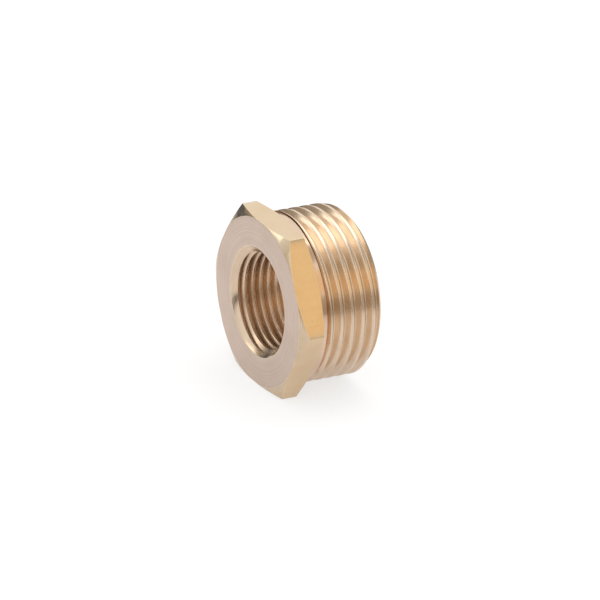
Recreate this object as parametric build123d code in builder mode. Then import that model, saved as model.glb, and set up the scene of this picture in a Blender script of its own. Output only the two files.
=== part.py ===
from build123d import *
import math
import os

# Hex bushing: a reducing pipe fitting, turned from hexagon bar. A thin hexagon head and a short collar
# carry a male parallel pipe thread, and a smaller female thread runs through the middle.
#
# The axis is X. x = 0 is the head's shoulder, where its back cone meets the collar: the head lies
# towards -X, with the bore's mouth in its face, and the threaded shank towards +X. The bushing lies
# on one flat of its hexagon, which faces -Z.

# Head
HEX_ACROSS_FLATS = 26.0
HEAD_LENGTH = 4.1
FACE_CHAMFER_DEPTH = 0.86
FACE_CHAMFER_ANGLE = 24.0
BACK_CHAMFER_ANGLE = 22.0

# Collar, turned just below the flats, and the relief groove between it and the thread
COLLAR_BELOW_FLATS = 0.05
COLLAR_LENGTH = 0.8
RELIEF_WIDTH = 0.45
RELIEF_BELOW_ROOT = 0.08

# Male thread, G 3/4: parallel, 14 turns to the inch, its crests turned a little under basic size
BASIC_DIAMETER = 26.441
CREST_UNDERSIZE = 0.241
PITCH = 25.4 / 14
FLANK_ANGLE = 55.0
TRUNCATION_SHARE = 1 / 6
THREAD_LENGTH = 9.1
END_CHAMFER = 1.0
# Station, from the shoulder, where the line of the thread groove passes straight above the axis
GROOVE_STATION = 0.09

# Bore, at the minor diameter of the female thread, G 3/8
BORE_DIAMETER = 14.95
COUNTERSINK_DEPTH = 1.1
COUNTERSINK_ANGLE = 90.0
BORE_END_CHAMFER = 0.5

# How far the thread cutter's profile stands out of the metal
CUTTER_CLEARANCE = 0.25

# Head, collar and bore
corner_radius = HEX_ACROSS_FLATS / 2 / math.cos(math.radians(30))
face_radius = corner_radius - FACE_CHAMFER_DEPTH / math.tan(math.radians(FACE_CHAMFER_ANGLE))
collar_radius = HEX_ACROSS_FLATS / 2 - COLLAR_BELOW_FLATS
back_chamfer_depth = (corner_radius - collar_radius) * math.tan(math.radians(BACK_CHAMFER_ANGLE))
bore_radius = BORE_DIAMETER / 2
mouth_radius = bore_radius + COUNTERSINK_DEPTH * math.tan(math.radians(COUNTERSINK_ANGLE / 2))

# Thread form: a sharp triangle, cut short by the same share at crest and root
flank_slope = math.tan(math.radians(FLANK_ANGLE / 2))
sharp_height = PITCH / 2 / flank_slope
root_radius = BASIC_DIAMETER / 2 - sharp_height * (1 - 2 * TRUNCATION_SHARE)
crest_radius = (BASIC_DIAMETER - CREST_UNDERSIZE) / 2
root_flat = PITCH * TRUNCATION_SHARE
neck_radius = root_radius - RELIEF_BELOW_ROOT
cutter_radius = crest_radius + CUTTER_CLEARANCE
cutter_width = root_flat + 2 * (cutter_radius - root_radius) * flank_slope

# Stations along the axis. The cutter's helix starts and ends outside the threaded length.
relief_end = COLLAR_LENGTH + RELIEF_WIDTH
shank_end = relief_end + THREAD_LENGTH
helix_start = GROOVE_STATION - PITCH
helix_turns = math.ceil((shank_end + PITCH - helix_start) / PITCH)

# Head: a slice of hexagon bar, its corners turned off by a shallow cone at the face and at the back
with BuildPart() as head:
    with BuildSketch(Plane.YZ) as bar_section:
        RegularPolygon(corner_radius, 6)
    extrude(amount=-HEAD_LENGTH)
    with BuildSketch(Plane.XY) as turned_outline:
        with BuildLine():
            Polyline(
                (-HEAD_LENGTH, 0),
                (-HEAD_LENGTH, face_radius),
                (FACE_CHAMFER_DEPTH - HEAD_LENGTH, corner_radius),
                (-back_chamfer_depth, corner_radius),
                (0, collar_radius),
                (0, 0),
                close=True,
            )
        make_face()
    revolve(axis=Axis.X, mode=Mode.INTERSECT)

# Thread groove: the cutter's profile, drawn above the axis and carried along a right-hand helix. One
# turn is drawn and the rest are its copies, so each face stays one turn long, which keeps the cut dependable.
with BuildPart() as thread_groove:
    with BuildLine():
        first_turn = Helix(PITCH, PITCH, root_radius, center=(helix_start, 0, 0), direction=(1, 0, 0))
    helix = Wire([first_turn.translate((turn * PITCH, 0, 0)) for turn in range(helix_turns)])
    with BuildSketch(Plane.XZ) as cutter:
        with BuildLine():
            Polyline(
                (helix_start - root_flat / 2, root_radius),
                (helix_start + root_flat / 2, root_radius),
                (helix_start + cutter_width / 2, cutter_radius),
                (helix_start - cutter_width / 2, cutter_radius),
                close=True,
            )
        make_face()
    sweep(path=helix, is_frenet=True, clean=False)

# Threaded shank: the neck in the relief, then a plain round that the groove turns into a thread
with BuildPart() as shank:
    with BuildSketch(Plane.YZ.offset(relief_end)) as crest_section:
        Circle(crest_radius)
    extrude(amount=THREAD_LENGTH)
    chamfer(shank.edges().sort_by(Axis.X)[-1], END_CHAMFER)
    add(thread_groove.part, mode=Mode.SUBTRACT, clean=False)
    with BuildSketch(Plane.YZ.offset(COLLAR_LENGTH)) as neck_section:
        Circle(neck_radius)
    extrude(amount=RELIEF_WIDTH)

# Whole bushing: head, collar and shank in one piece, bored and countersunk from the face
with BuildPart() as hex_bushing:
    add(head.part)
    with BuildSketch(Plane.YZ) as collar_section:
        Circle(collar_radius)
    extrude(amount=COLLAR_LENGTH)
    add(shank.part)
    with Locations(Plane((-HEAD_LENGTH, 0, 0), z_dir=(-1, 0, 0))):
        CounterSinkHole(bore_radius, mouth_radius, counter_sink_angle=COUNTERSINK_ANGLE)
    end_edges = hex_bushing.edges().filter_by(GeomType.CIRCLE).group_by(Axis.X)[-1]
    chamfer(end_edges.sort_by(SortBy.RADIUS)[0], BORE_END_CHAMFER)

hex_bushing.part.label = "hex_bushing"

os.makedirs("parts", exist_ok=True)
export_step(hex_bushing.part, "parts/hex_bushing.step")
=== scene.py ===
"""Brass hex bushing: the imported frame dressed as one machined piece, with floor, light and camera.

Sizes are in millimetres and are scaled by MM on their way into Blender. The axis is X, with the
origin at the shoulder between the head and the collar.
"""

import math

import bpy
from mathutils import Matrix, Vector


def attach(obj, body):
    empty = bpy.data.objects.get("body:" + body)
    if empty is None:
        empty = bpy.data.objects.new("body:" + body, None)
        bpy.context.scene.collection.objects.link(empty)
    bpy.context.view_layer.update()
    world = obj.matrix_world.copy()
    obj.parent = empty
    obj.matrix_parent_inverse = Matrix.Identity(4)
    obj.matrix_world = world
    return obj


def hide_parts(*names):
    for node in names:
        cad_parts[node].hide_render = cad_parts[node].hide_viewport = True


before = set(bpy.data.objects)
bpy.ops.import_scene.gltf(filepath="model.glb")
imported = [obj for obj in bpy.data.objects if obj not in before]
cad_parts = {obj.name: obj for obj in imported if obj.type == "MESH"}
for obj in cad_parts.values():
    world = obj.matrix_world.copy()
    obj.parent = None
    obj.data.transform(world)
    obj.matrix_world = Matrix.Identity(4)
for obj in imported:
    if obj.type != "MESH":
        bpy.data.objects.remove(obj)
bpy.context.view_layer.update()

MM = 0.001
SAME_POINT = 0.0005
ON_PLANE = 0.0001
TURN_STEPS = 240

# Head, collar and neck
FACE_X = -4.1
ACROSS_FLATS = 26.0
FLAT_ANGLES = [math.radians(30 + 60 * side) for side in range(6)]
FACE_RIM = 13.08
FACE_CONE = math.radians(24)
BACK_CONE = math.radians(22)
BAR_RADIUS = 15.2
COLLAR_RADIUS = 12.95
COLLAR_X = 0.8
NECK_RADIUS = 11.98
NECK_OVERLAP = 0.5
SLIVER = 0.03
HEAD_EDGE = 0.09
HEAD_EDGE_PIECES = 2
HEAD_EDGE_ANGLE = math.radians(14)

# Both threads: half the flank angle, how many of its flats make a pitch, how many times sharper the
# outer corner is on the side of the thread's end, and how many turns lie before the first valley
HALF_FLANK = math.radians(27.5)
FLATS_PER_PITCH = 6
SHARPER_SIDE = 3
EARLY_TURNS = 2
ROUND_PIECES = 3

# Outside thread
PITCH = 25.4 / 14
CREST_RADIUS = 13.1
CREST_ROUND = 0.09
ROOT_RADIUS = 12.0585
ROOT_ROUND = 0.23
GROOVE_X = 1.451
THREAD_START = 1.02
THREAD_END = 10.35
THREAD_TURNS = 7

# Its first ridge, beside the relief: where the moved flank lies, left of the crest's middle, how
# far it moves, and where round the shank the move fades out, in degrees
FIRST_FLANK = (0.1, 0.8)
FIRST_SHIFT = 0.2
FIRST_FADE = (260, 340)

# The cone turned on the thread's end, drawn longer than its chamfer on both sides
END_CHAMFER = 1.0
CONE_BEFORE = 0.3
CONE_PAST = 0.25

# Inside thread; its cutter stands out at the mouth and at the outlet
BORE_PITCH = 25.4 / 19
BORE_CREST = 7.475
BORE_CREST_ROUND = 0.06
BORE_ROOT = 8.331
BORE_ROOT_ROUND = 0.1
BORE_CREST_X = -3.495
BORE_TURNS = 13
BORE_STEPS = 180
BORE_BEFORE = 0.4
BORE_PAST = 0.3

# Countersunk mouth, with its rim broken by a tiny second slope, and the outlet's chamfer
MOUTH_RADIUS = 8.575
MOUTH_DEPTH = 1.6
MOUTH_BREAK_OUT = 0.06
MOUTH_BREAK_IN = 0.04
MOUTH_BEFORE = 0.4
MOUTH_FLARE = 1.06
OUTLET_RADIUS = 8.4
OUTLET_DEPTH = 1.5
OUTLET_PAST = 0.4

SMOOTH_ANGLE = math.radians(26)
EVEN_WEIGHT = 50


def rest():
    """Leaves edit mode and deselects everything."""
    if bpy.context.object and bpy.context.object.mode != "OBJECT":
        bpy.ops.object.mode_set(mode="OBJECT")
    bpy.ops.object.select_all(action="DESELECT")


def work_on(piece):
    """Makes one piece the only selected and active one."""
    rest()
    piece.select_set(True)
    bpy.context.view_layer.objects.active = piece


def merge_doubles(piece, distance):
    """Merges points closer than a distance, and stays in edit mode with everything selected."""
    work_on(piece)
    bpy.ops.object.mode_set(mode="EDIT")
    bpy.ops.mesh.select_all(action="SELECT")
    bpy.ops.mesh.remove_doubles(threshold=distance * MM)


def finish_shell(piece):
    """Merges doubles and turns the faces outwards."""
    merge_doubles(piece, SAME_POINT)
    bpy.ops.mesh.normals_make_consistent(inside=False)
    bpy.ops.object.mode_set(mode="OBJECT")


def wire(name, points, closed):
    """A wire through (x, radius) points above the axis, closed to a ring or open."""
    rest()
    bpy.ops.mesh.primitive_circle_add(vertices=len(points), radius=MM)
    piece = bpy.context.object
    piece.name = name
    for vertex, (x, radius) in zip(piece.data.vertices, points):
        vertex.co = (x * MM, radius * MM, 0)
    if not closed:
        last = len(points) - 1
        for edge in piece.data.edges:
            edge.select = set(edge.vertices) == {0, last}
        for vertex in piece.data.vertices:
            vertex.select = False
        bpy.ops.object.mode_set(mode="EDIT")
        bpy.ops.mesh.select_mode(type="EDGE")
        bpy.ops.mesh.delete(type="EDGE")
        bpy.ops.object.mode_set(mode="OBJECT")
    return piece


def apply_modifier(piece, kind, **settings):
    """Adds a modifier with its settings and applies it."""
    work_on(piece)
    modifier = piece.modifiers.new(kind.lower(), kind)
    for key, value in settings.items():
        setattr(modifier, key, value)
    bpy.ops.object.modifier_apply(modifier=modifier.name)


def turned(name, outline):
    """A closed outline carried once round the axis, as on a lathe."""
    piece = wire(name, outline, closed=True)
    apply_modifier(piece, "SCREW", axis="X", angle=math.tau, steps=TURN_STEPS,
                   render_steps=TURN_STEPS, use_merge_vertices=True,
                   merge_threshold=SAME_POINT * MM)
    finish_shell(piece)
    return piece


def slice_off(piece, place, direction):
    """Cuts the piece at a plane and closes it with a flat face."""
    work_on(piece)
    bpy.ops.object.mode_set(mode="EDIT")
    bpy.ops.mesh.select_mode(type="FACE")
    bpy.ops.mesh.select_all(action="SELECT")
    bpy.ops.mesh.bisect(plane_co=[v * MM for v in place], plane_no=direction, use_fill=True,
                        clear_outer=True, threshold=ON_PLANE * MM)
    bpy.ops.object.mode_set(mode="OBJECT")


def rounded(corners):
    """An open line through (x, radius, rounding) corners, each rounding drawn as a small arc."""
    line = [corners[0][:2]]
    for before, corner, after in zip(corners, corners[1:], corners[2:]):
        x, r, rounding = corner
        # Directions along the line, away from the corner on both sides
        ax, ar = before[0] - x, before[1] - r
        bx, br = after[0] - x, after[1] - r
        la, lb = math.hypot(ax, ar), math.hypot(bx, br)
        ax, ar, bx, br = ax / la, ar / la, bx / lb, br / lb
        half = math.acos(max(-1, min(1, ax * bx + ar * br))) / 2
        reach = rounding / math.tan(half)
        # The arc's centre, on the line that halves the corner
        middle = rounding / math.sin(half)
        mx, mr = ax + bx, ar + br
        size = math.hypot(mx, mr)
        cx, cr = x + mx / size * middle, r + mr / size * middle
        start = math.atan2(r + ar * reach - cr, x + ax * reach - cx)
        stop = math.atan2(r + br * reach - cr, x + bx * reach - cx)
        turn = (stop - start + math.pi) % math.tau - math.pi
        for i in range(ROUND_PIECES + 1):
            a = start + turn * i / ROUND_PIECES
            line.append((cx + rounding * math.cos(a), cr + rounding * math.sin(a)))
    line.append(corners[-1][:2])
    return line


def thin_first_ridge(piece):
    """Moves the left flank of the ridge beside the relief: it starts thin and grows as it turns."""
    fade_start, fade_end = FIRST_FADE
    for vertex in piece.data.vertices:
        x, y, z = (v / MM for v in vertex.co)
        turn = math.degrees(math.atan2(z, y)) % 360
        left_of_crest = GROOVE_X - PITCH / 2 + PITCH * turn / 360 - x
        if FIRST_FLANK[0] < left_of_crest < FIRST_FLANK[1]:
            share = max(0, min(1, (fade_end - turn) / (fade_end - fade_start)))
            vertex.co.x += FIRST_SHIFT * MM * share


def threaded(name, valley_x, pitch, low, high, low_round, high_round, turns, steps, start, end,
             shape=None):
    """A right-hand threaded rod: one ridge carried along its helix, then sliced at both ends."""
    rise = (high - low) * math.tan(HALF_FLANK)
    flat = pitch / FLATS_PER_PITCH
    crest = (pitch - flat) / 2 - rise
    first_x = valley_x - EARLY_TURNS * pitch
    middle = first_x + pitch / 2
    piece = wire(name, rounded([
        (first_x, low, 0),
        (first_x + flat / 2, low, low_round),
        (middle - crest, high, high_round),
        (middle + crest, high, high_round / SHARPER_SIDE),
        (first_x + pitch - flat / 2, low, low_round),
        (first_x + pitch, low, 0),
    ]), closed=False)
    apply_modifier(piece, "SCREW", axis="X", angle=math.tau, screw_offset=pitch * MM,
                   iterations=turns, steps=steps, render_steps=steps, use_merge_vertices=False)
    finish_shell(piece)
    if shape:
        shape(piece)
    slice_off(piece, (start, 0, 0), (-1, 0, 0))
    slice_off(piece, (end, 0, 0), (1, 0, 0))
    finish_shell(piece)
    return piece


def combine(piece, other, way):
    """Joins, keeps or cuts one closed piece with another, which is used up."""
    apply_modifier(piece, "BOOLEAN", object=other, operation=way, solver="EXACT")
    bpy.data.objects.remove(other)


# Head with its collar and neck: turned, then milled to six flats
face_cone_end = FACE_X + (BAR_RADIUS - FACE_RIM) * math.tan(FACE_CONE)
back_cone_start = -(BAR_RADIUS - COLLAR_RADIUS) * math.tan(BACK_CONE)
neck_end = THREAD_START + NECK_OVERLAP
bushing = turned("bushing_visual", [
    (FACE_X, 0),
    (FACE_X, FACE_RIM),
    (face_cone_end, BAR_RADIUS),
    (back_cone_start, BAR_RADIUS),
    (0, COLLAR_RADIUS),
    (COLLAR_X, COLLAR_RADIUS),
    (COLLAR_X, NECK_RADIUS),
    (neck_end, NECK_RADIUS),
    (neck_end, 0),
])
for angle in FLAT_ANGLES:
    away = (0, math.cos(angle), math.sin(angle))
    slice_off(bushing, [v * ACROSS_FLATS / 2 for v in away], away)
merge_doubles(bushing, SLIVER)
bpy.ops.object.mode_set(mode="OBJECT")
apply_modifier(bushing, "BEVEL", width=HEAD_EDGE * MM, segments=HEAD_EDGE_PIECES,
               limit_method="ANGLE", angle_limit=HEAD_EDGE_ANGLE, use_clamp_overlap=True,
               miter_outer="MITER_SHARP")
finish_shell(bushing)

# Outside thread, its end turned to a cone
shank = threaded("outside_thread", GROOVE_X, PITCH, ROOT_RADIUS, CREST_RADIUS,
                 ROOT_ROUND, CREST_ROUND, THREAD_TURNS, TURN_STEPS,
                 THREAD_START, THREAD_END, thin_first_ridge)
cone_top = CREST_RADIUS + CONE_BEFORE
cone_end = THREAD_END + CONE_PAST
combine(shank, turned("thread_end", [
    (0, 0),
    (0, cone_top),
    (THREAD_END - END_CHAMFER - CONE_BEFORE, cone_top),
    (cone_end, CREST_RADIUS - END_CHAMFER - CONE_PAST),
    (cone_end, 0),
]), "INTERSECT")
combine(bushing, shank, "UNION")

# Bore: inside thread, countersunk mouth and chamfered outlet
combine(bushing, threaded("inside_thread", BORE_CREST_X, BORE_PITCH, BORE_CREST, BORE_ROOT,
                          BORE_CREST_ROUND, BORE_ROOT_ROUND, BORE_TURNS, BORE_STEPS,
                          FACE_X - BORE_BEFORE, THREAD_END + BORE_PAST), "DIFFERENCE")
combine(bushing, turned("mouth", [
    (FACE_X - MOUTH_BEFORE, 0),
    (FACE_X - MOUTH_BEFORE, MOUTH_RADIUS + MOUTH_FLARE),
    (FACE_X, MOUTH_RADIUS + MOUTH_BREAK_OUT),
    (FACE_X + MOUTH_BREAK_IN, MOUTH_RADIUS - MOUTH_BREAK_IN),
    (FACE_X + MOUTH_DEPTH, MOUTH_RADIUS - MOUTH_DEPTH),
    (FACE_X + MOUTH_DEPTH, 0),
]), "DIFFERENCE")
combine(bushing, turned("outlet", [
    (THREAD_END + OUTLET_PAST, 0),
    (THREAD_END + OUTLET_PAST, OUTLET_RADIUS + OUTLET_PAST),
    (THREAD_END - OUTLET_DEPTH, OUTLET_RADIUS - OUTLET_DEPTH),
    (THREAD_END - OUTLET_DEPTH, 0),
]), "DIFFERENCE")
finish_shell(bushing)

work_on(bushing)
bpy.ops.object.shade_smooth_by_angle(angle=SMOOTH_ANGLE)
apply_modifier(bushing, "WEIGHTED_NORMAL", mode="FACE_AREA", weight=EVEN_WEIGHT, keep_sharp=True)

# How near a face lies to a place, and how squarely it faces a direction, to be given a finish
NEAR_FACE = 0.05
NEAR_RIM = 0.1
NEAR_BORE = 0.05
NEAR_END = 0.1
INSIDE_ENDS = 0.01
MOUTH_REACH = 1
CREST_BAND = 0.3
ALONG_AXIS = 0.995
SQUARE_TO_FLAT = 0.999
CONE_WITHIN = 0.004
MOUTH_SLOPE = 0.7071
MOUTH_WITHIN = 0.02
COLLAR_OUTWARDS = -0.1
RIDGE_OUTWARDS = 0.97
SMALLEST_RADIUS = 0.001


def finish_of(centre, normal):
    """The finish of a face, from its place and direction."""
    x, y, z = (v / MM for v in centre)
    radius = math.hypot(y, z)
    outwards = (normal.y * y + normal.z * z) / max(radius, SMALLEST_RADIUS)
    square = abs(normal.x)
    if x < FACE_X + NEAR_FACE and abs(radius - MOUTH_RADIUS) < NEAR_RIM and square < ALONG_AXIS:
        return "edge"
    if radius < MOUTH_RADIUS + NEAR_BORE and FACE_X + INSIDE_ENDS < x < THREAD_END - INSIDE_ENDS:
        sunk = x < FACE_X + MOUTH_REACH and abs(normal.x + MOUTH_SLOPE) < MOUTH_WITHIN
        return "mouth" if sunk else "bore"
    if square > ALONG_AXIS:
        return "turned_face" if x < 0 or x > THREAD_END - NEAR_END else "collar"
    if x < 0:
        for angle in FLAT_ANGLES:
            if normal.y * math.cos(angle) + normal.z * math.sin(angle) > SQUARE_TO_FLAT:
                return "drawn_flat"
        cone = math.cos(FACE_CONE if normal.x < 0 else BACK_CONE)
        return "turned_cone" if abs(square - cone) < CONE_WITHIN else "edge"
    if x < THREAD_START and outwards > COLLAR_OUTWARDS:
        return "collar"
    if outwards > RIDGE_OUTWARDS:
        return "crest" if radius > CREST_RADIUS - CREST_BAND else "root"
    return "thread"


class Nodes:
    """A node tree, with short ways to add a node and join its sockets."""

    def __init__(self, tree):
        self.tree = tree

    def add(self, kind, inputs=(), **settings):
        """Adds a node; each input is given a value or is joined to another node's socket."""
        node = self.tree.nodes.new(kind)
        for key, value in settings.items():
            setattr(node, key, value)
        for name, value in dict(inputs).items():
            if isinstance(value, bpy.types.NodeSocket):
                self.tree.links.new(value, node.inputs[name])
            else:
                node.inputs[name].default_value = value
        return node

    def math(self, way, first, second=0.0):
        """One step of arithmetic."""
        return self.add("ShaderNodeMath", {0: first, 1: second}, operation=way).outputs[0]

    def ramp(self, value, low, high, out_low=0.0, out_high=1.0):
        """A value taken from one range to another, and held at its ends."""
        return self.add("ShaderNodeMapRange", {
            "Value": value, "From Min": low, "From Max": high,
            "To Min": out_low, "To Max": out_high,
        }).outputs[0]

    def blend(self, share, first, second):
        """Two colours mixed."""
        return self.add("ShaderNodeMix", {"Factor": share, 6: first, 7: second},
                        data_type="RGBA").outputs[2]


def empty_nodes(owner):
    """Turns on the nodes of a material or a world and empties them."""
    owner.use_nodes = True
    owner.node_tree.nodes.clear()
    return Nodes(owner.node_tree)


def new_group(name, inputs, outputs):
    """A node group with (name, kind, value) inputs and (name, kind) outputs."""
    tree = bpy.data.node_groups.new(name, "ShaderNodeTree")
    for label, kind, value in inputs:
        socket = tree.interface.new_socket(label, in_out="INPUT", socket_type=kind)
        if value is not None:
            socket.default_value = value
    for label, kind in outputs:
        tree.interface.new_socket(label, in_out="OUTPUT", socket_type=kind)
    nodes = Nodes(tree)
    return tree, nodes, nodes.add("NodeGroupInput").outputs, nodes.add("NodeGroupOutput")


# Position in millimetres, with the distance from the axis
place_group, n, given, result = new_group(
    "bushing_place",
    [("Object", "NodeSocketVector", None)],
    [("Millimetres", "NodeSocketVector"),
     ("Radius", "NodeSocketFloat"),
     ("Along", "NodeSocketFloat")])
scaled = n.add("ShaderNodeVectorMath", {0: given["Object"], "Scale": 1 / MM},
               operation="SCALE").outputs[0]
along, y, z = n.add("ShaderNodeSeparateXYZ", {0: scaled}).outputs
radius = n.math("SQRT", n.math("ADD", n.math("MULTIPLY", y, y), n.math("MULTIPLY", z, z)))
for name, socket in (("Millimetres", scaled), ("Radius", radius), ("Along", along)):
    n.tree.links.new(socket, result.inputs[name])

# Brass tone: two close colours in soft patches, with sparse dark specks
PATCHES_PER_MM = 0.25
PATCH_LOW, PATCH_HIGH = 0.35, 0.68
SPECKS_PER_MM = 0.55
SPECK_INNER, SPECK_OUTER = 0.025, 0.05
SPECK_COLOUR = (0.16, 0.1, 0.06, 1)
SPECK_SHARE = 0.4
tone_group, n, given, result = new_group(
    "brass_tone",
    [("Millimetres", "NodeSocketVector", None),
     ("Light", "NodeSocketColor", (0.8, 0.6, 0.4, 1)),
     ("Deep", "NodeSocketColor", (0.7, 0.5, 0.3, 1)),
     ("Patches per mm", "NodeSocketFloat", PATCHES_PER_MM),
     ("Speck", "NodeSocketFloat", SPECK_SHARE)],
    [("Color", "NodeSocketColor"), ("Mask", "NodeSocketFloat")])
patch = n.add("ShaderNodeTexNoise", {
    "Vector": given["Millimetres"], "Scale": given["Patches per mm"],
    "Detail": 4.0, "Roughness": 0.6,
}).outputs["Fac"]
mask = n.ramp(patch, PATCH_LOW, PATCH_HIGH)
mixed = n.blend(mask, given["Light"], given["Deep"])
spots = n.add("ShaderNodeTexVoronoi",
              {"Vector": given["Millimetres"], "Scale": SPECKS_PER_MM}).outputs["Distance"]
speck = n.math("MULTIPLY", n.ramp(spots, SPECK_INNER, SPECK_OUTER, 1.0, 0.0), given["Speck"])
n.tree.links.new(n.blend(speck, mixed, SPECK_COLOUR), result.inputs["Color"])
n.tree.links.new(mask, result.inputs["Mask"])

# Tool marks: fine lines across one coordinate, uneven in depth and not quite straight
WANDERS_PER_MM = 0.35
WANDER = 0.03
FINE_LINES = 5.0
MARK_LOW, MARK_HIGH = 0.4, 0.62
marks_group, n, given, result = new_group(
    "tool_marks",
    [("Across", "NodeSocketFloat", 0.0),
     ("Millimetres", "NodeSocketVector", None),
     ("Lines per mm", "NodeSocketFloat", 8.0),
     ("Fine share", "NodeSocketFloat", 0.4)],
    [("Height", "NodeSocketFloat"), ("Mask", "NodeSocketFloat")])
wander = n.add("ShaderNodeTexNoise",
               {"Vector": given["Millimetres"], "Scale": WANDERS_PER_MM,
                "Detail": 2.0}).outputs["Fac"]
line_place = n.math("ADD", given["Across"], n.math("MULTIPLY", wander, WANDER))
coarse = n.add("ShaderNodeTexNoise",
               {"W": line_place, "Scale": given["Lines per mm"], "Detail": 3.0},
               noise_dimensions="1D").outputs["Fac"]
fine_lines = n.math("MULTIPLY", given["Lines per mm"], FINE_LINES)
fine = n.add("ShaderNodeTexNoise", {"W": line_place, "Scale": fine_lines, "Detail": 2.0},
             noise_dimensions="1D").outputs["Fac"]
height = n.add("ShaderNodeMix", {"Factor": given["Fine share"], 2: coarse, 3: fine}).outputs[0]
n.tree.links.new(height, result.inputs["Height"])
n.tree.links.new(n.ramp(coarse, MARK_LOW, MARK_HIGH), result.inputs["Mask"])

# How brass is worked: the stretch of drawn lines, sand, where a flat starts to fall off, how dark
# the marks are, and how much rougher or smoother they and the patches are
DRAWN_STRETCH = 0.04
GRAINS_PER_MM = 9.0
CROWN_START = 5.4
RING_SHADE = 0.86
LEAST_WORN = 0.85
MOST_WORN = 1.2
PATCH_WORN = 0.15


def brass(name, light, deep, roughness, across, lines, depth, grain=0.0, crown=0.0, ring=0.25):
    """Bare brass with tool marks across the Radius, marks Along the axis, or drawn Lengthwise.

    lines is marks per mm and depth is in millimetres. grain adds sandy roughness to the marks,
    crown rolls a flat off towards its corners, and ring darkens the marks.
    """
    material = bpy.data.materials.new(name)
    n = empty_nodes(material)
    coordinates = n.add("ShaderNodeTexCoord").outputs["Object"]
    place = n.add("ShaderNodeGroup", node_tree=place_group)
    n.tree.links.new(coordinates, place.inputs["Object"])
    place = place.outputs
    tone = n.add("ShaderNodeGroup", node_tree=tone_group)
    n.tree.links.new(place["Millimetres"], tone.inputs["Millimetres"])
    tone.inputs["Light"].default_value = (*light, 1)
    tone.inputs["Deep"].default_value = (*deep, 1)
    if across == "Lengthwise":
        stretched = n.add("ShaderNodeMapping",
                          {"Vector": place["Millimetres"], "Scale": (DRAWN_STRETCH, lines, lines)})
        noise = n.add("ShaderNodeTexNoise",
                      {"Vector": stretched.outputs[0], "Scale": 1.0, "Detail": 4.0})
        height = mask = noise.outputs["Fac"]
    else:
        marks = n.add("ShaderNodeGroup", node_tree=marks_group)
        n.tree.links.new(place[across], marks.inputs["Across"])
        n.tree.links.new(place["Millimetres"], marks.inputs["Millimetres"])
        marks.inputs["Lines per mm"].default_value = lines
        height, mask = marks.outputs["Height"], marks.outputs["Mask"]
    if grain:
        sand = n.add("ShaderNodeTexNoise",
                     {"Vector": place["Millimetres"], "Scale": GRAINS_PER_MM, "Detail": 5.0})
        height = n.math("ADD", height, n.math("MULTIPLY", sand.outputs["Fac"], grain))
    height = n.math("MULTIPLY", height, depth)
    if crown:
        squared = n.math("SUBTRACT", n.math("POWER", place["Radius"], 2.0),
                         (ACROSS_FLATS / 2) ** 2)
        across_flat = n.math("SQRT", n.math("MAXIMUM", 0.0, squared))
        fall = n.math("MAXIMUM", 0.0, n.math("SUBTRACT", across_flat, CROWN_START))
        height = n.math("SUBTRACT", height, n.math("MULTIPLY", n.math("POWER", fall, 2.0), crown))
    worn = n.ramp(mask, 0.0, 1.0, roughness * LEAST_WORN, roughness * MOST_WORN)
    uneven = n.math("ADD", worn, n.math("MULTIPLY", tone.outputs["Mask"], roughness * PATCH_WORN))
    lined = n.blend(n.math("MULTIPLY", mask, ring), tone.outputs["Color"],
                    (*(v * RING_SHADE for v in deep), 1))
    bump = n.add("ShaderNodeBump", {"Height": height, "Strength": 1.0, "Distance": MM}).outputs[0]
    shader = n.add("ShaderNodeBsdfPrincipled", {"Base Color": lined, "Roughness": uneven,
                                                "Normal": bump, "Metallic": 1.0})
    output = n.add("ShaderNodeOutputMaterial")
    n.tree.links.new(shader.outputs[0], output.inputs["Surface"])
    return material


finish_materials = {
    "turned_face": brass("brass_turned_face", light=(0.705, 0.58, 0.485), deep=(0.675, 0.55, 0.455),
                         roughness=0.34, across="Radius", lines=4.0, depth=0.006,
                         grain=0.3, ring=0.4),
    "turned_cone": brass("brass_turned_cone", light=(0.74, 0.61, 0.45), deep=(0.66, 0.52, 0.35),
                         roughness=0.2, across="Radius", lines=6.0, depth=0.002),
    "drawn_flat": brass("brass_drawn_flat", light=(0.80, 0.63, 0.42), deep=(0.76, 0.58, 0.37),
                        roughness=0.15, across="Lengthwise", lines=2.2, depth=0.0012, crown=0.03),
    # The edge bevels and the mouth's rim get a paler, brighter brass than the faces beside them: a
    # painted highlight along the edges
    "edge": brass("brass_edge_painted_highlight", light=(0.88, 0.76, 0.58), deep=(0.82, 0.68, 0.48),
                  roughness=0.2, across="Radius", lines=4.0, depth=0.001),
    "collar": brass("brass_collar", light=(0.81, 0.61, 0.46), deep=(0.74, 0.53, 0.38),
                    roughness=0.18, across="Along", lines=7.0, depth=0.0015),
    "crest": brass("brass_thread_crest", light=(0.81, 0.65, 0.49), deep=(0.73, 0.57, 0.41),
                   roughness=0.22, across="Along", lines=6.0, depth=0.002, grain=0.9),
    "thread": brass("brass_cut_thread", light=(0.83, 0.68, 0.525), deep=(0.76, 0.60, 0.445),
                    roughness=0.2, across="Radius", lines=6.0, depth=0.002, grain=0.5),
    # The thread roots get a darker brass than the flanks and crests: painted shade in the thread's
    # valleys
    "root": brass("brass_thread_root_painted_shade", light=(0.64, 0.51, 0.39), deep=(0.56, 0.43, 0.32),
                  roughness=0.3, across="Along", lines=5.0, depth=0.003, grain=0.6),
    "mouth": brass("brass_mouth", light=(0.77, 0.62, 0.46), deep=(0.70, 0.54, 0.39),
                   roughness=0.2, across="Radius", lines=6.0, depth=0.002),
    "bore": brass("brass_cut_bore", light=(0.80, 0.64, 0.49), deep=(0.72, 0.55, 0.40),
                  roughness=0.24, across="Radius", lines=6.0, depth=0.002),
}
bushing.data.materials.clear()
for material in finish_materials.values():
    bushing.data.materials.append(material)
finishes = list(finish_materials)
for face in bushing.data.polygons:
    face.material_index = finishes.index(finish_of(face.center, face.normal))

rest()
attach(bushing, "root")
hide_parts("hex_bushing")

bpy.context.scene.view_settings.view_transform = "Standard"

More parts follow.
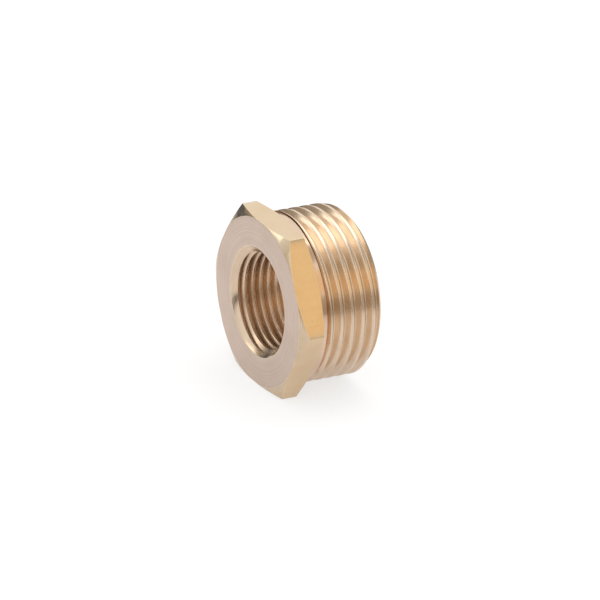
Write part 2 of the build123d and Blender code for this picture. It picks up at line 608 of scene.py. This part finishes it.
# Camera, in metres
camera_data = bpy.data.cameras.new("camera")
camera_data.sensor_width = 36
camera_data.lens = 360.41
camera_data.clip_start = 0.01
camera_data.clip_end = 50
camera = bpy.data.objects.new("camera", camera_data)
bpy.context.scene.collection.objects.link(camera)
bpy.context.scene.camera = camera
camera.matrix_world = Matrix((
    (0.878488, 0.160160, -0.450119, -0.403522),
    (-0.475585, 0.383040, -0.791896, -0.715636),
    (0.045584, 0.909741, 0.412666, 0.371979),
    (0, 0, 0, 1),
))

# Floor: pale, near white to the camera with the bushing's soft shadow kept, dimmer as the brass
# reflects it
FLOOR_Z = -13.1
FLOOR_SIZE = 6000
FLOOR_COLOUR = (0.86, 0.85, 0.84, 1)
FLOOR_SEEN_COLOUR = (0.34, 0.34, 0.34, 1)
FLOOR_SEEN_GLOW = 0.68
FLOOR_MIRRORED_COLOUR = (0.4, 0.39, 0.39, 1)
FLOOR_MIRRORED_TINT = (1.0, 0.96, 0.96, 1)
FLOOR_MIRRORED_GLOW = 0.5
rest()
bpy.ops.mesh.primitive_plane_add(size=FLOOR_SIZE * MM, location=(0, 0, FLOOR_Z * MM))
floor = bpy.context.object
floor.name = "floor"
floor_material = bpy.data.materials.new("floor_pale")
n = empty_nodes(floor_material)
plain = n.add("ShaderNodeBsdfDiffuse", {"Color": FLOOR_COLOUR}).outputs[0]
seen = n.add("ShaderNodeAddShader", {
    0: n.add("ShaderNodeBsdfDiffuse", {"Color": FLOOR_SEEN_COLOUR}).outputs[0],
    1: n.add("ShaderNodeEmission", {"Strength": FLOOR_SEEN_GLOW}).outputs[0],
}).outputs[0]
mirrored = n.add("ShaderNodeAddShader", {
    0: n.add("ShaderNodeBsdfDiffuse", {"Color": FLOOR_MIRRORED_COLOUR}).outputs[0],
    1: n.add("ShaderNodeEmission", {"Color": FLOOR_MIRRORED_TINT,
                                    "Strength": FLOOR_MIRRORED_GLOW}).outputs[0],
}).outputs[0]
path = n.add("ShaderNodeLightPath").outputs
unseen = n.add("ShaderNodeMixShader", {0: path["Is Glossy Ray"], 1: plain, 2: mirrored}).outputs[0]
chosen = n.add("ShaderNodeMixShader", {0: path["Is Camera Ray"], 1: unseen, 2: seen}).outputs[0]
n.tree.links.new(chosen, n.add("ShaderNodeOutputMaterial").inputs["Surface"])
floor.data.materials.append(floor_material)

# Surroundings: plain white all round
world = bpy.data.worlds.new("white_room")
bpy.context.scene.world = world
n = empty_nodes(world)
room = n.add("ShaderNodeBackground", {"Color": (1, 1, 1, 1), "Strength": 1.0})
n.tree.links.new(room.outputs[0], n.add("ShaderNodeOutputWorld").inputs["Surface"])


def facing(azimuth, elevation, distance):
    """A place round the bushing, at angles in degrees, turned to look back at it."""
    turn, rise = math.radians(azimuth), math.radians(elevation)
    sideways = math.cos(rise)
    away = Vector((math.cos(turn) * sideways, math.sin(turn) * sideways, math.sin(rise)))
    turned_back = away.to_track_quat("Z", "Y").to_matrix().to_4x4()
    return Matrix.Translation(away * distance * MM) @ turned_back


def softbox(name, place, width, height, colour, level):
    """A soft lamp of an even brightness, where level 1 is white."""
    data = bpy.data.lights.new(name, "AREA")
    data.shape = "RECTANGLE"
    data.size, data.size_y = width * MM, height * MM
    data.energy = level * math.pi * data.size * data.size_y
    data.color = colour
    lamp = bpy.data.objects.new(name, data)
    bpy.context.scene.collection.objects.link(lamp)
    lamp.matrix_world = facing(*place)
    lamp.visible_camera = False


def reflected(piece, colour, level):
    """Makes a stage piece that only the metal's reflections show."""
    material = bpy.data.materials.new(piece.name)
    n = empty_nodes(material)
    glow = n.add("ShaderNodeEmission", {"Color": (*colour, 1), "Strength": level})
    n.tree.links.new(glow.outputs[0], n.add("ShaderNodeOutputMaterial").inputs["Surface"])
    piece.data.materials.append(material)
    piece.visible_camera = False
    piece.visible_diffuse = False
    piece.visible_shadow = False


def card(name, place, width, height, colour, level):
    """A plain card standing round the bushing."""
    rest()
    bpy.ops.mesh.primitive_plane_add(size=1)
    piece = bpy.context.object
    piece.name = name
    piece.matrix_world = facing(*place) @ Matrix.Diagonal((width * MM, height * MM, 1, 1))
    reflected(piece, colour, level)


# Lamps: name, (azimuth, elevation, distance), width, height, colour, level
for lamp in (
    ("softbox_over", (35, 66, 260), 170, 190, (1, 1, 1), 1.2),
    ("softbox_left", (138, 17, 260), 80, 60, (1.0, 0.92, 0.78), 1.0),
):
    softbox(*lamp)

# The room's dim edge, low all round
ROOM_RADIUS = 115
ROOM_HEIGHT = 21
ROOM_SIDES = 96
ROOM_COLOUR = (1.0, 0.9, 0.8)
ROOM_GLOW = 0.3
rest()
bpy.ops.mesh.primitive_cylinder_add(vertices=ROOM_SIDES, radius=ROOM_RADIUS * MM,
                                    depth=ROOM_HEIGHT * MM, end_fill_type="NOTHING",
                                    location=(0, 0, (FLOOR_Z + ROOM_HEIGHT / 2) * MM))
room_edge = bpy.context.object
room_edge.name = "room_edge"
reflected(room_edge, ROOM_COLOUR, ROOM_GLOW)

# Cards: name, (azimuth, elevation, distance), width, height, colour, level
for each in (
    ("card_behind", (103, -1, 112), 75, 26, (0.75, 0.85, 1.0), 0.12),
    ("card_behind_high", (100, 19, 112), 100, 52, (1.0, 0.85, 0.7), 0.36),
    ("card_left", (158, 6, 112), 36, 30, (1.0, 0.95, 0.86), 0.74),
    ("card_left_low", (-156, -3, 108), 70, 22, (1.0, 0.85, 0.9), 0.1),
    ("card_front_low", (-62, 6, 110), 190, 34, (1.0, 0.85, 0.7), 0.5),
    ("card_gold", (-58, 29, 150), 170, 66, (1.0, 0.79, 0.53), 1.0),
    ("card_front_high", (-33, 52, 145), 150, 38, (1.0, 0.93, 0.82), 0.52),
):
    card(*each)
